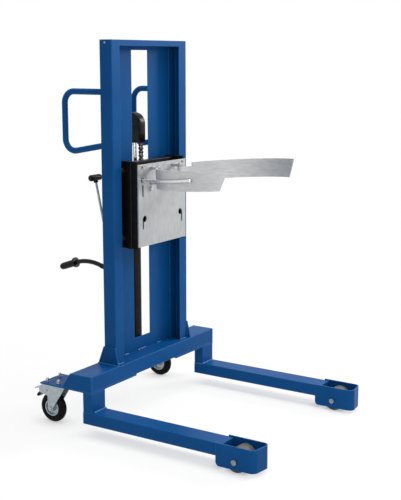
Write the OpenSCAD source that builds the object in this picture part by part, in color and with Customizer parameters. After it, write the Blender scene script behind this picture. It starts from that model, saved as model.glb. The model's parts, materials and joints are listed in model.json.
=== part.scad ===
// Drum lifter: straddle base, channel mast, chain-lifted carriage and curved clamp arms.
// Millimetres. +Z is up, the legs and the clamp point to -Y, X runs across the mast.
// The mast's front face is y = 0 while modelling; every node is then moved back by y_shift.

/* [Base] */
// Width over the two straddle legs
base_w = 908; // [860:1:960]
// Depth of the base beam, front to back
beam_d = 110; // [100:1:130]
// Height of the base beam
beam_h = 64; // [56:1:72]
// Wall of the base beam
beam_t = 5; // [3:0.5:8]
// Corner radius of the base beam
beam_r = 4; // [2:0.5:5]
// Top of the base beam above the floor
beam_top = 250; // [240:1:270]
// How far the beam stands in front of the mast
beam_lead = 20; // [14:1:26]
// Thickness of the caster bracket plates
bracket_t = 6; // [4:0.5:10]
// Length of each bracket plate along the beam
bracket_len = 304; // [240:1:360]
// Bracket plate's rear edge behind the mast's front
bracket_back = 250; // [245:1:275]
// Width of the bracket plate at its rear edge
bracket_tail = 138; // [130:1:160]
// Thickness of the plates that close the beam's ends
end_t = 5; // [3:0.5:8]
// How far an end plate's foot reaches behind the beam
end_foot = 42; // [20:1:60]

/* [Legs] */
// Width of a straddle leg
leg_w = 90; // [80:1:100]
// Height of a straddle leg
leg_h = 50; // [44:1:56]
// Wall of the legs and posts
leg_t = 4; // [3:0.5:6]
// Corner radius of the legs and posts
leg_r = 4; // [2:0.5:6]
// Diameter of the drain hole under a leg
drain_d = 8; // [6:1:10]
// Top of a leg above the floor
leg_top = 100; // [92:1:110]
// Reach of a leg in front of the mast
leg_reach = 630; // [580:1:640]
// Depth of the post between beam and leg
post_d = 45; // [36:1:60]

/* [Front rollers] */
// Diameter of a front roller
roller_d = 90; // [84:1:96]
// Width of a front roller
roller_w = 80; // [60:1:84]
// Axle of the front rollers beyond the leg's end
axle_lead = 60; // [56:1:80]
// Diameter of the axle bolt
axle_d = 14; // [10:1:18]
// Thickness of the roller housing's plate
housing_t = 5; // [4:0.5:8]
// Front of the housing beyond the axle
housing_nose = 97; // [90:1:120]
// Inner bend radius of the housing
housing_bend = 20; // [12:1:26]
// How far the housing's outer corner stands back
housing_skew = 14; // [0:1:24]
// Top of the housing above the floor
housing_top = 104; // [100:1:112]
// Bottom of the housing above the floor
housing_low = 14; // [8:1:20]
// Overlap of the housing on the leg
housing_lap = 23; // [16:1:40]
// Radius of the housing's rear lower corner
housing_round = 18; // [12:1:24]
// Width of the axle's bolt heads
axle_head = 24; // [20:1:28]

/* [Casters] */
// Diameter of a caster wheel
wheel_d = 125; // [120:1:130]
// Width of a caster wheel
wheel_w = 36; // [30:1:40]
// Diameter of the metal rim
rim_d = 72; // [60:1:84]
// Distance of the wheel's axle behind the swivel
trail = 33; // [28:1:38]
// Swivel axis in from the side of the base
caster_inset = 69; // [66:1:72]
// Swivel axis behind the mast's front
caster_back = 205; // [195:1:210]
// Length of the caster's top plate
cap_l = 105; // [100:1:110]
// Width of the caster's top plate
cap_w = 85; // [80:1:90]
// Thickness of the caster's top plate and fork
cap_t = 5; // [4:0.5:6]
// Spacing of the plate bolts across
bolt_x = 80; // [74:1:84]
// Spacing of the plate bolts along
bolt_y = 60; // [54:1:66]
// Diameter of the plate bolts
bolt_d = 10; // [8:1:10]
// Diameter of the swivel's king pin and wheel axle
king_d = 14; // [12:1:16]
// Reach of the fork in front of its swivel
fork_front = 42; // [38:1:46]
// Reach of the fork behind its swivel
fork_back = 92; // [88:1:98]
// Radius of the fork's end round the axle
fork_end = 13; // [11:1:16]
// Diameter of the small hole in the fork's side
fork_hole_d = 6; // [5:1:8]
// Reach of the guard behind the swivel
guard_reach = 116; // [110:1:120]
// Pedal's pin behind the swivel
pedal_back = 80; // [78:1:84]
// Pedal's pin below the fork's top
pedal_drop = 38; // [36:1:40]
// Diameter of the pedal's pin
pedal_d = 10; // [8:1:12]

/* [Mast] */
// Width over the two mast rails
mast_w = 530; // [500:1:560]
// Depth of the mast rails
mast_d = 60; // [56:1:64]
// Top of the mast above the floor
mast_top = 1575; // [1560:1:1620]
// Width of a rail's flange
flange_w = 55; // [48:1:60]
// Thickness of the rails
rail_t = 5; // [4:0.5:6]
// Bend radius of the rails
rail_r = 5; // [3:0.5:6]
// Thickness of the rear panel
panel_t = 3; // [2:0.5:4]
// Width of the slot in the rear panel
slot_w = 114; // [108:1:130]
// Bottom of the slot above the floor
slot_low = 310; // [290:1:340]
// Top of the slot below the mast's top
slot_drop = 40; // [30:1:60]
// Height of the top crossbar's lip
lip_h = 24; // [16:1:30]
// Height of the foot gussets
foot_h = 74; // [60:1:100]
// Thickness of the foot gussets
foot_t = 6; // [4:0.5:8]

/* [Handles] */
// Diameter of the handle tube
grip_d = 25; // [20:1:30]
// Reach of the handles behind the rails
grip_reach = 205; // [180:1:220]
// Upper handle tube below the mast's top
grip_drop = 206; // [180:1:230]
// Height between the two ends of a handle tube
grip_span = 214; // [200:1:230]
// Bend radius of the handle tube
grip_bend = 48; // [40:1:56]
// Slope of the lower handle tube, in degrees
grip_slope = 10.5; // [6:0.5:14]

/* [Lift gear] */
// Axis of the ram behind the mast's front
ram_y = 90; // [88:1:96]
// Diameter of the piston rod
rod_d = 25; // [20:1:30]
// Diameter of the cylinder barrel
barrel_d = 48; // [44:1:50]
// Wall of the cylinder barrel
barrel_t = 5; // [4:0.5:6]
// Top of the gland above the floor
gland_top = 1036; // [1000:1:1040]
// Length of the gland
gland_l = 30; // [24:1:36]
// Length of the piston rod in the cylinder
rod_in = 440; // [400:1:460]
// Length of the piston
piston_l = 40; // [30:1:50]
// Width of the cylinder's foot
foot_w = 68; // [60:1:76]
// Cylinder's foot behind the ram's axis
foot_back = 28; // [26:1:32]
// Height of the cylinder's foot
seat_h = 26; // [20:1:34]
// Bottom of the yoke above the floor
yoke_low = 1150; // [1146:1:1160]
// Sheave axis above the floor
sheave_z = 1230; // [1226:1:1240]
// Pitch of the chain
pitch = 15.875; // [15:0.125:16.5]
// Links in the front run
front_links = 27; // [25:1:28]
// Links in the rear run
rear_links = 17; // [16:1:18]
// Height of a chain plate
link_h = 14; // [12:0.5:14]
// Width of the chain
chain_w = 18; // [14:1:18]
// Diameter of the sheave's pin
sheave_pin_d = 16; // [12:1:18]
// Thickness of the sheave cover
cover_t = 2; // [1.5:0.5:3]
// Height of the sheave cover's straight sides
cover_skirt = 75; // [60:1:80]

/* [Carriage] */
// Bottom of the carriage above the floor
carriage_low = 728; // [710:1:740]
// Height of the carriage's side plates
carriage_h = 360; // [350:1:370]
// Thickness of the side plates
side_t = 10; // [8:1:12]
// Step between the front and rear parts of a side plate
side_step = 4; // [2:1:6]
// Depth of the cross bars
cross_d = 30; // [24:1:34]
// Height of the upper and lower cross bars
cross_h = 36; // [30:1:44]
// Depth of the backing bars behind the clamp plate
backing_d = 20; // [14:1:22]
// Thickness of the sheet behind the backing bars
sheet_t = 3; // [2:0.5:4]
// Diameter of the guide roller stubs
stub_d = 16; // [12:1:20]
// Width of a guide roller
guide_w = 34; // [28:1:38]
// Guide roller's axle in from the carriage's end
guide_inset = 40; // [34:1:60]

/* [Clamp plate] */
// Width of the clamp plate
plate_w = 342; // [330:1:350]
// Height of the clamp plate
plate_h = 340; // [336:1:350]
// Thickness of the clamp plate
plate_t = 6; // [5:0.5:8]
// Clamp plate's face in front of the mast
plate_lead = 57; // [52:1:62]
// Top of the clamp plate above the floor
plate_top = 1076; // [1074:1:1080]
// Diameter of the two corner holes
corner_d = 11; // [9:0.5:12]
// Corner hole in from the plate's side
corner_x = 26; // [24:1:28]
// Corner hole below the plate's top
corner_z = 11; // [10:1:14]
// Width of the upright slots
slit_w = 9; // [7:0.5:11]
// Length of the upright slots
slit_l = 50; // [40:1:56]
// Diameter of the keyholes
key_d = 26; // [22:1:30]
// Length of a keyhole's narrow slot
key_l = 56; // [48:1:60]
// Diameter of the plate's fixing bolts
fix_d = 12; // [10:1:13]
// Fixing bolts below the plate's top
fix_drop = 103; // [101:1:105]
// Middle of the upright slots below the plate's top
slit_drop = 109; // [107:1:111]
// Keyholes below the plate's top
key_drop = 225; // [215:1:235]

/* [Clamp arms] */
// Inner radius of the clamp arms
cradle_r = 297; // [290:1:304]
// Centre of the clamp arms in front of the mast
cradle_reach = 393; // [391:1:397]
// Thickness of a clamp arm
arm_t = 5; // [4:0.5:6]
// Height of a clamp arm
arm_h = 78; // [76:1:82]
// Bottom of the clamp arms above the floor, at the hinge
arm_low = 987; // [985:1:989]
// Rise of a clamp arm towards its end, in degrees
arm_tilt = 3.5; // [2:0.5:4.5]
// Angle of the arm's end from the front, half way up
arm_end = 64; // [58:1:72]
// Slant of the arm's end, half of it, along the arm
arm_slant = 18; // [10:1:24]
// Angle from the front where the arm narrows to its hinge
arm_neck = 155; // [150:1:157]
// Angle of the hinge from the front
hinge_a = 165.5; // [165:0.1:166]
// Outer radius of the hinge knuckle
knuckle_r = 11; // [10:0.5:12]
// Diameter of the hinge pin
pin_d = 12; // [10:1:13]
// Thickness of a hinge lug
lug_t = 10; // [8:1:11]
// Diameter of the tie rods
tie_d = 12; // [10:0.5:13]
// Tie rod's hole from the middle of the plate
tie_x = 143; // [141:1:145]
// Tie rod's hole below the plate's top
tie_drop = 64; // [62:1:66]
// Clearance around the tie rod in the plate
tie_gap = 2; // [1.5:0.5:3]
// Opening angle of the clamp arms
arm_open = 6; // [4:0.5:8]
// Rise of the tie rod towards the front, in degrees
tie_tilt = 6; // [5:0.5:6.5]
// Angle of the tie rod's front end from the front
tie_end = 89; // [84:1:96]
// Length of tie rod behind the plate
tie_tail = 34; // [30:1:36]

/* [Pump] */
// Reach of the pump lever behind the mast's front
rear_reach = 514; // [500:1:530]
// Lever's pivot behind the mast's front
pivot_y = 175; // [170:1:180]
// Lever's pivot above the floor
pivot_z = 560; // [550:1:570]
// Slope of the lever at its pivot and at its grip, in degrees
lever_a = 19; // [17:1:21]
// Straight part of the lever beyond its pivot
lever_l = 107; // [100:1:114]
// Bend radius of the lever
lever_bend = 230; // [220:1:240]
// Diameter of the lever
lever_d = 20; // [16:1:22]
// Diameter of the lever's grip
handle_d = 30; // [26:1:34]
// Diameter of the lever's pivot pin
pivot_d = 14; // [12:1:16]
// Plunger behind the lever's pivot
plunger_y = 32; // [30:1:36]
// Diameter of the plunger
plunger_d = 16; // [12:1:18]
// Height of the pump tank
tank_h = 180; // [160:1:200]
// Width of the pump tank
tank_w = 124; // [116:1:130]
// Front of the pump tank behind the ram
tank_gap = 38; // [36:1:42]
// Depth of the pump tank
tank_d = 100; // [96:1:110]
// Radius of the tank's rear corners
tank_r = 42; // [30:1:46]
// Release rod from the middle of the mast
release_x = 45; // [42:1:48]
// Height of the release knob
release_top = 993; // [970:1:1010]
// Lean of the release rod, in degrees
release_a = 12.4; // [11:0.2:13]
// Diameter of the release rod
release_d = 10; // [8:1:12]
// Length of the release knob
knob_l = 80; // [70:1:90]
// Diameter of the release knob
knob_d = 28; // [24:1:32]

/* [Fits] */
// Radial clearance of a turning or sliding fit
run_gap = 0.05; // [0.02:0.01:0.08]
// Gap between moving faces
face_gap = 0.5; // [0.4:0.1:0.8]

/* [Hidden] */
$fn = 64;
// How far cutters reach past a face
e = 1;
// How far an arc crosses the faces that it joins
seam = 0.02;
cross = 0.3;

// Base
side_x = base_w / 2;
beam_low = beam_top - beam_h;
beam_back = beam_d - beam_lead;
bracket_low = beam_low - bracket_t;
leg_low = leg_top - leg_h;
leg_in = side_x - leg_w;
post_back = post_d - beam_lead;
leg_mid = side_x - leg_w / 2;
axle_reach = leg_reach + axle_lead;
front_reach = axle_reach + housing_nose;
y_shift = (front_reach - rear_reach) / 2;
roller_r = roller_d / 2;
bore_axle = axle_d / 2 + run_gap;
caster_x = side_x - caster_inset;
wheel_r = wheel_d / 2;
fork_gap = wheel_w / 2 + 2.5;
race_r = fork_gap + cap_t + 3.5;
pedal_x = fork_gap - 6.5;
fork_top = bracket_low - cap_t - 5;

// Mast
rail_in = mast_w / 2 - flange_w;
rail_mid = mast_d / 2;
grip_x = mast_w / 2 - flange_w / 2;
grip_y = mast_d + grip_reach;
grip_top = mast_top - grip_drop;
grip_foot = grip_top - grip_span;
panel_y = mast_d - panel_t;

// Chain and sheave
wrap_links = 7;
sheave_r = wrap_links * pitch / PI;
front_y = ram_y - sheave_r;
rear_y = ram_y + sheave_r;
front_low = sheave_z - (front_links - 0.5) * pitch;
rear_low = sheave_z - (rear_links - 0.5) * pitch;
cover_r = sheave_r + link_h / 2 + 3;
yoke_in = chain_w / 2 + 3.5;
yoke_out = yoke_in + 4;
cover_x = yoke_out + 2.5;

// Carriage
plate_back = plate_t - plate_lead;
side_out = plate_w / 2;
side_in = side_out - side_t;
rear_out = side_out - side_step;
rear_in = rear_out - side_t;
carriage_top = carriage_low + carriage_h;
side_bend = -22;
side_back = mast_d - rail_t - 12;
guide_r = mast_d / 2 - rail_t - face_gap;
guide_x = mast_w / 2 - rail_t - 5 - guide_w;
guide_low = carriage_low + guide_inset;
guide_top = carriage_top - guide_inset;
cross_y = 2;
fix_x = plate_w / 4 + 2;
fix_z = plate_top - fix_drop;
plate_low = plate_top - plate_h;
slit_z = plate_top - slit_drop;
slit_x = tie_x - 2;
key_x = slit_x - 12;
key_z = plate_top - key_drop;
tie_z = plate_top - tie_drop;

// Clamp arms
arm_top = arm_low + arm_h;
arm_mid = arm_low + arm_h / 2;
arm_r = cradle_r + arm_t;
hinge_r = arm_r + knuckle_r - 3;
hinge_x = hinge_r * sin(hinge_a);
hinge_y = -cradle_reach - hinge_r * cos(hinge_a);
neck_low = arm_low + 14;
neck_top = arm_top - 14;
pin_r = pin_d / 2;
tie_r = arm_r + tie_d / 2 + 1.2;
tie_far = sqrt(pow(tie_x, 2) + pow(cradle_reach - plate_lead, 2));
tie_touch = 180 - atan(tie_x / (cradle_reach - plate_lead)) - acos(tie_r / tie_far);
tie_run = sqrt(pow(tie_far, 2) - pow(tie_r, 2));
tie_lean = tie_touch - 90;
open_lean = tie_lean + arm_open;
open_x = hinge_x + (tie_x - hinge_x) * cos(arm_open) + (hinge_y + plate_lead) * sin(arm_open);
open_y = hinge_y + (tie_x - hinge_x) * sin(arm_open) - (hinge_y + plate_lead) * cos(arm_open);
tie_in = tie_x - plate_t * tan(tie_lean) - tie_d / 2 / cos(tie_lean) - tie_gap;
tie_out = open_x + (open_y + plate_lead) * tan(open_lean) + tie_d / 2 / cos(open_lean) + tie_gap;
tie_slot = tie_d + 3 * tie_gap;

// Pump
tank_y = ram_y + tank_gap;
tank_back = tank_y + tank_d;
tank_top = beam_top + tank_h;
rise_y = pivot_y + lever_l * cos(lever_a);
rise_z = pivot_z + lever_l * sin(lever_a);
crest_y = rise_y + lever_bend * sin(lever_a);
crest_z = rise_z - lever_bend * cos(lever_a);
fall_y = crest_y + lever_bend * sin(lever_a);
grip_len = (rear_reach - handle_d / 2 - fall_y) / cos(lever_a);
release_len = (release_top - tank_top + 10) / cos(release_a);
release_y = tank_y + 16;

// Helpers

module place() {
    translate([0, y_shift, 0]) children();
}

module both() {
    children();
    mirror([1, 0, 0]) children();
}

module box(lo, hi) {
    translate(lo) cube(hi - lo);
}

module rod_x(r, x0, x1, y, z) {
    translate([x0, y, z]) rotate([0, 90, 0]) cylinder(r = r, h = x1 - x0);
}

module rod_y(r, y0, y1, x, z) {
    translate([x, y0, z]) rotate([-90, 0, 0]) cylinder(r = r, h = y1 - y0);
}

module rod_z(r, z0, z1, x, y) {
    translate([x, y, z0]) cylinder(r = r, h = z1 - z0);
}

// A flat outline in the Y-Z plane, given thickness along X
module slab(x0, x1) {
    translate([x0, 0, 0]) rotate([90, 0, 90]) linear_extrude(height = x1 - x0) children();
}

// A rectangle with round corners
module round_rect(lo, hi, r) {
    translate([lo.x + r, lo.y]) square([hi.x - lo.x - 2 * r, hi.y - lo.y]);
    translate([lo.x, lo.y + r]) square([hi.x - lo.x, hi.y - lo.y - 2 * r]);
    for (x = [lo.x + r, hi.x - r], y = [lo.y + r, hi.y - r])
        translate([x, y]) circle(r = r);
}

module hex(d, h) {
    cylinder(d = d, h = h, $fn = 6);
}

module blue() {
    color([0.08, 0.27, 0.52]) children();
}

module zinc() {
    color([0.72, 0.74, 0.75]) children();
}

module black() {
    color([0.06, 0.06, 0.06]) children();
}

module steel() {
    color([0.8, 0.81, 0.82]) children();
}

// Base

module base_beam() {
    blue() place() difference() {
        slab(-side_x + end_t, side_x - end_t)
            round_rect([-beam_lead, beam_low], [beam_back, beam_top], beam_r);
        box([-side_x, beam_t - beam_lead, beam_low + beam_t],
            [side_x, beam_back - beam_t, beam_top - beam_t]);
    }
}

module bracket_outline() {
    polygon([[-side_x, -beam_lead], [bracket_len - side_x, -beam_lead], [bracket_len - side_x, beam_back],
        [bracket_tail - side_x, caster_back - cap_w / 2 - 20], [bracket_tail - side_x, bracket_back],
        [-side_x, bracket_back]]);
}

module caster_brackets() {
    blue() place() both() difference() {
        translate([0, 0, bracket_low]) linear_extrude(height = bracket_t) bracket_outline();
        at_caster_bolts() translate([0, 0, bracket_low - e]) cylinder(d = bolt_d, h = bracket_t + 2 * e);
    }
}

module end_plates() {
    blue() place() both() slab(-side_x, end_t - side_x)
        polygon([[-beam_lead, beam_low], [beam_back + end_foot, beam_low], [beam_back, beam_top],
            [-beam_lead, beam_top]]);
}

module leg_posts() {
    blue() place() both() difference() {
        translate([0, 0, leg_top]) linear_extrude(height = bracket_low - leg_top)
            round_rect([-side_x, -beam_lead], [-leg_in, post_back], leg_r);
        box([leg_t - side_x, leg_t - beam_lead, leg_top - e],
            [-leg_in - leg_t, post_back - leg_t, bracket_low + e]);
    }
}

module straddle_legs() {
    blue() place() both() difference() {
        translate([0, post_back, 0]) rotate([90, 0, 0]) linear_extrude(height = leg_reach + post_back)
            round_rect([-side_x, leg_low], [-leg_in, leg_top], leg_r);
        box([leg_t - side_x, leg_t - leg_reach, leg_low + leg_t],
            [-leg_in - leg_t, post_back - leg_t, leg_top - leg_t]);
        rod_z(drain_d / 2, leg_low - e, leg_low + leg_t + e, -leg_mid, 0);
    }
}

// Front rollers

function unit(v) = v / norm(v);

// A strap bent round the roller, t outside the leg's faces
module housing_outline(t) {
    r = housing_bend + t;
    back = housing_lap - leg_reach;
    p = [[-side_x - t, back], [-side_x - t, housing_skew + housing_t - front_reach - t],
        [t - leg_in, housing_t - front_reach - t], [t - leg_in, back]];
    u = [for (i = [1, 2]) unit(p[i - 1] - p[i])];
    v = [for (i = [1, 2]) unit(p[i + 1] - p[i])];
    half = [for (i = [0, 1]) acos(u[i] * v[i]) / 2];
    cut = [for (i = [0, 1]) r / tan(half[i])];
    polygon([p[0], p[1] + u[0] * cut[0], p[1] + v[0] * cut[0], p[2] + u[1] * cut[1],
        p[2] + v[1] * cut[1], p[3]]);
    for (i = [0, 1])
        translate(p[i + 1] + unit(u[i] + v[i]) * r / sin(half[i])) circle(r = r + seam);
}

module roller_housings() {
    blue() place() both() difference() {
        translate([0, 0, housing_low]) linear_extrude(height = housing_top - housing_low)
            housing_outline(housing_t);
        translate([0, e, housing_low - e]) linear_extrude(height = housing_top - housing_low + 2 * e)
            housing_outline(0);
        slab(-side_x - 2 * housing_t, 2 * housing_t - leg_in)
            translate([housing_lap - leg_reach - housing_round, housing_low]) difference() {
                translate([0, -e]) square([housing_round + e, housing_round + e]);
                translate([0, housing_round]) circle(r = housing_round + cross);
            }
        rod_x(axle_d / 2, -side_x - 2 * housing_t, 2 * housing_t - leg_in, -axle_reach, roller_r);
    }
}

module roller_axles() {
    steel() place() both() {
        rod_x(axle_d / 2, -side_x - housing_t, housing_t - leg_in, -axle_reach, roller_r);
        translate([-side_x - housing_t, -axle_reach, roller_r])
            rotate([0, -90, 0]) hex(axle_head, axle_head / 3);
        translate([housing_t - leg_in, -axle_reach, roller_r])
            rotate([0, 90, 0]) hex(axle_head, axle_head / 3);
    }
}

module front_roller() {
    color([0.66, 0.63, 0.57]) difference() {
        union() {
            rod_x(roller_r, -leg_mid - roller_w / 2, roller_w / 2 - leg_mid, -axle_reach, roller_r);
            rod_x(axle_d / 2 + 6, -side_x + face_gap, -leg_in - face_gap, -axle_reach, roller_r);
        }
        rod_x(bore_axle, -side_x - e, e - leg_in, -axle_reach, roller_r);
        ring_recess(-leg_mid - roller_w / 2 - e);
        ring_recess(roller_w / 2 - leg_mid - 5);
    }
}

// Shallow ring cut in a roller's end face
module ring_recess(x) {
    difference() {
        rod_x(roller_r - 8, x, x + 5 + e, -axle_reach, roller_r);
        rod_x(axle_d / 2 + 6, x - e, x + 6 + e, -axle_reach, roller_r);
    }
}

module front_roller_left() {
    place() front_roller();
}

module front_roller_right() {
    place() mirror([1, 0, 0]) front_roller();
}

// Casters, drawn on the left

module at_caster_bolts() {
    for (sx = [-1, 1], sy = [-1, 1])
        translate([-caster_x + sx * bolt_x / 2, caster_back + sy * bolt_y / 2, 0]) children();
}

module caster_caps() {
    zinc() place() both() difference() {
        union() {
            translate([-caster_x, caster_back, bracket_low - cap_t / 2])
                cube([cap_l, cap_w, cap_t], center = true);
            rod_z(race_r, fork_top + face_gap, bracket_low - cap_t, -caster_x, caster_back);
            rod_z(king_d / 2, fork_top - cap_t - 6, bracket_low, -caster_x, caster_back);
            rod_z(king_d / 2 + 5, fork_top - cap_t - 6, fork_top - cap_t - face_gap, -caster_x, caster_back);
        }
        at_caster_bolts() translate([0, 0, bracket_low - cap_t - e]) cylinder(d = bolt_d, h = cap_t + 2 * e);
    }
}

module caster_bolts() {
    steel() place() both() at_caster_bolts() {
        translate([0, 0, bracket_low - cap_t]) cylinder(d = bolt_d, h = bracket_t + cap_t + 14);
        translate([0, 0, bracket_low - cap_t - 4]) hex(17, 4);
        translate([0, 0, beam_low]) cylinder(d = 20, h = 2);
        translate([0, 0, beam_low + 2]) hex(17, 8);
    }
}

module fork_outline() {
    difference() {
        union() {
            polygon([[-fork_front, fork_top], [-fork_front, fork_top - fork_end], [trail - fork_end, wheel_r],
                [trail + fork_end, wheel_r], [trail + fork_end, wheel_r + 4 * fork_end],
                [pedal_back - 8, fork_top - pedal_drop - 12], [fork_back, fork_top - pedal_drop - 8],
                [fork_back, fork_top - pedal_drop + 14], [fork_back - 30, fork_top]]);
            translate([trail, wheel_r]) circle(r = fork_end);
        }
        translate([trail, wheel_r]) circle(d = king_d);
        translate([fork_back / 2, fork_top - pedal_drop + fork_hole_d]) circle(d = fork_hole_d);
    }
}

module guard_outline() {
    near = fork_back - 34;
    polygon([[near, fork_top - 12], [guard_reach, fork_top - 30], [guard_reach, fork_top - 30 - cap_t],
        [near, fork_top - 12 - cap_t]]);
}

module fork() {
    zinc() translate([-caster_x, caster_back, 0]) {
        difference() {
            union() {
                box([e - fork_gap - cap_t, -fork_front, fork_top - cap_t],
                    [fork_gap + cap_t - e, fork_back - 30, fork_top]);
                rod_z(race_r + 7, fork_top - cap_t, fork_top, 0, 0);
                slab(-fork_gap - cap_t + e, -fork_gap) fork_outline();
                slab(fork_gap, fork_gap + cap_t - e) fork_outline();
                slab(-fork_gap - cap_t + e, fork_gap + cap_t - e) guard_outline();
            }
            rod_z(king_d / 2 + run_gap, fork_top - cap_t - e, fork_top + e, 0, 0);
        }
        rod_x(king_d / 2, -fork_gap - cap_t - 3, fork_gap + cap_t + 3, trail, wheel_r);
        rod_x(pedal_d / 2, -fork_gap, fork_gap, pedal_back, fork_top - pedal_drop);
    }
}

module rim() {
    zinc() translate([-caster_x, caster_back + trail, wheel_r]) rotate([0, 90, 0]) difference() {
        union() {
            cylinder(d = rim_d, h = 10, center = true);
            cylinder(d = 30, h = wheel_w + 4, center = true);
            difference() {
                cylinder(d = rim_d, h = wheel_w - 6, center = true);
                cylinder(d = rim_d - 10, h = wheel_w, center = true);
            }
        }
        cylinder(r = king_d / 2 + run_gap, h = wheel_w + 8, center = true);
    }
}

module tyre() {
    black() translate([-caster_x, caster_back + trail, wheel_r]) rotate([0, 90, 0])
        rotate_extrude() polygon([[rim_d / 2, -wheel_w / 2 + 3], [rim_d / 2 + 6, -wheel_w / 2],
            [wheel_r - 12, -wheel_w / 2], [wheel_r - 3, -wheel_w / 2 + 7], [wheel_r, -6], [wheel_r, 6],
            [wheel_r - 3, wheel_w / 2 - 7], [wheel_r - 12, wheel_w / 2], [rim_d / 2 + 6, wheel_w / 2],
            [rim_d / 2, wheel_w / 2 - 3]]);
}

module pedal() {
    black() translate([-caster_x, caster_back, 0]) difference() {
        union() {
            rod_x(pedal_d, -pedal_x, pedal_x, pedal_back, fork_top - pedal_drop);
            slab(-pedal_x, pedal_x) translate([pedal_back, fork_top - pedal_drop])
                polygon([[7, 4], [11, 1], [34, -24], [34, -32], [24, -32], [4, -9]]);
        }
        rod_x(pedal_d / 2 + run_gap, -pedal_x - e, pedal_x + e, pedal_back, fork_top - pedal_drop);
    }
}

module fork_left() {
    place() fork();
}

module fork_right() {
    place() mirror([1, 0, 0]) fork();
}

module rim_left() {
    place() rim();
}

module rim_right() {
    place() mirror([1, 0, 0]) rim();
}

module tyre_left() {
    place() tyre();
}

module tyre_right() {
    place() mirror([1, 0, 0]) tyre();
}

module pedal_left() {
    place() pedal();
}

module pedal_right() {
    place() mirror([1, 0, 0]) pedal();
}

// Mast

// Outside of a rail, bent round its two outer corners
module rail_outline() {
    out = -mast_w / 2;
    translate([out + rail_r, 0]) square([flange_w - rail_r, mast_d]);
    translate([out, rail_r]) square([flange_w, mast_d - 2 * rail_r]);
    for (y = [rail_r, mast_d - rail_r])
        translate([out + rail_r, y]) circle(r = rail_r);
}

module mast_rails() {
    blue() place() both() difference() {
        translate([0, 0, beam_top]) linear_extrude(height = mast_top - beam_top) rail_outline();
        box([rail_t - mast_w / 2, rail_t, beam_top - e], [e - rail_in, mast_d - rail_t, mast_top + e]);
    }
}

module rear_panel() {
    blue() place() difference() {
        box([-rail_in, panel_y, beam_top], [rail_in, mast_d, mast_top]);
        box([-slot_w / 2, panel_y - e, slot_low], [slot_w / 2, mast_d + e, mast_top - slot_drop]);
    }
}

module top_bar() {
    blue() place() {
        box([-rail_in, 0, mast_top - rail_t], [rail_in, panel_y, mast_top]);
        box([-rail_in, 0, mast_top - lip_h], [rail_in, rail_t, mast_top]);
        both() box([-rail_in - 30, rail_t, mast_top - rail_t], [-rail_in, mast_d - rail_t, mast_top]);
        both() box([rail_t - mast_w / 2, rail_t, mast_top - lip_h],
            [rail_t - mast_w / 2 + 30, mast_d - rail_t, mast_top]);
    }
}

module top_bolts() {
    steel() place() both() translate([-mast_w / 2, rail_mid, mast_top - lip_h / 2])
        rotate([0, -90, 0]) hex(11, 4);
}

module foot_gussets() {
    blue() place() both() slab(-mast_w / 2 - foot_t, -mast_w / 2)
        polygon([[2 - beam_lead, beam_top], [beam_back - 2, beam_top], [mast_d, beam_top + foot_h],
            [0, beam_top + foot_h]]);
}

// Handles

module grip_elbow(turn) {
    rotate([0, 90, 0]) rotate_extrude(angle = turn) translate([grip_bend, 0]) circle(d = grip_d);
}

module push_handles() {
    bend_y = grip_y - grip_bend;
    turn = 90 + grip_slope;
    end_y = bend_y - grip_bend * sin(grip_slope);
    foot_l = (end_y - mast_d) / cos(grip_slope);
    low_z = grip_foot - foot_l * sin(grip_slope) + grip_bend * cos(grip_slope);
    blue() place() both() translate([-grip_x, 0, 0]) {
        rod_y(grip_d / 2, mast_d, bend_y, 0, grip_top);
        translate([0, bend_y, grip_top - grip_bend]) rotate([90, 0, 0]) grip_elbow(90);
        rod_z(grip_d / 2, low_z, grip_top - grip_bend, 0, grip_y);
        translate([0, bend_y, low_z]) rotate([-grip_slope, 0, 0]) grip_elbow(turn);
        difference() {
            translate([0, end_y, low_z - grip_bend * cos(grip_slope)]) rotate([90 - grip_slope, 0, 0]) {
                cylinder(d = grip_d, h = foot_l + 10);
                translate([0, 0, -2]) cylinder(d = grip_d + 0.6, h = 4);
            }
            box([-grip_d, 0, 0], [grip_d, mast_d, mast_top]);
        }
    }
}

// Lift gear

module barrel() {
    black() place() difference() {
        union() {
            rod_z(barrel_d / 2, beam_top, gland_top - gland_l, 0, ram_y);
            box([-foot_w / 2, mast_d + 3, beam_top], [foot_w / 2, ram_y + foot_back, beam_top + seat_h]);
        }
        rod_z(barrel_d / 2 - barrel_t, beam_top + seat_h + barrel_t, gland_top, 0, ram_y);
    }
}

module gland() {
    steel() place() difference() {
        rod_z(barrel_d / 2 + 1.5, gland_top - gland_l, gland_top, 0, ram_y);
        rod_z(rod_d / 2 + run_gap, gland_top - gland_l - e, gland_top + e, 0, ram_y);
    }
}

module piston_rod() {
    steel() place() {
        rod_z(rod_d / 2, gland_top - rod_in, yoke_low, 0, ram_y);
        rod_z(barrel_d / 2 - barrel_t - face_gap, gland_top - rod_in - piston_l / 2,
            gland_top - rod_in + piston_l / 2, 0, ram_y);
    }
}

module yoke() {
    black() place() difference() {
        union() {
            box([-yoke_out, ram_y - 20, yoke_low], [yoke_out, ram_y + 20, yoke_low + 22]);
            both() box([-yoke_out, ram_y - 17, yoke_low], [-yoke_in, ram_y + 17, sheave_z + 17]);
        }
        rod_x(sheave_pin_d / 2, -cover_x, cover_x, ram_y, sheave_z);
    }
}

module sheave_pin() {
    steel() place() rod_x(sheave_pin_d / 2, -cover_x - cover_t - 3, cover_x + cover_t + 3, ram_y, sheave_z);
}

module cover_outline(r, low) {
    translate([ram_y, sheave_z]) circle(r = r);
    translate([ram_y - r, low]) square([2 * r, sheave_z - low]);
}

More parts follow.
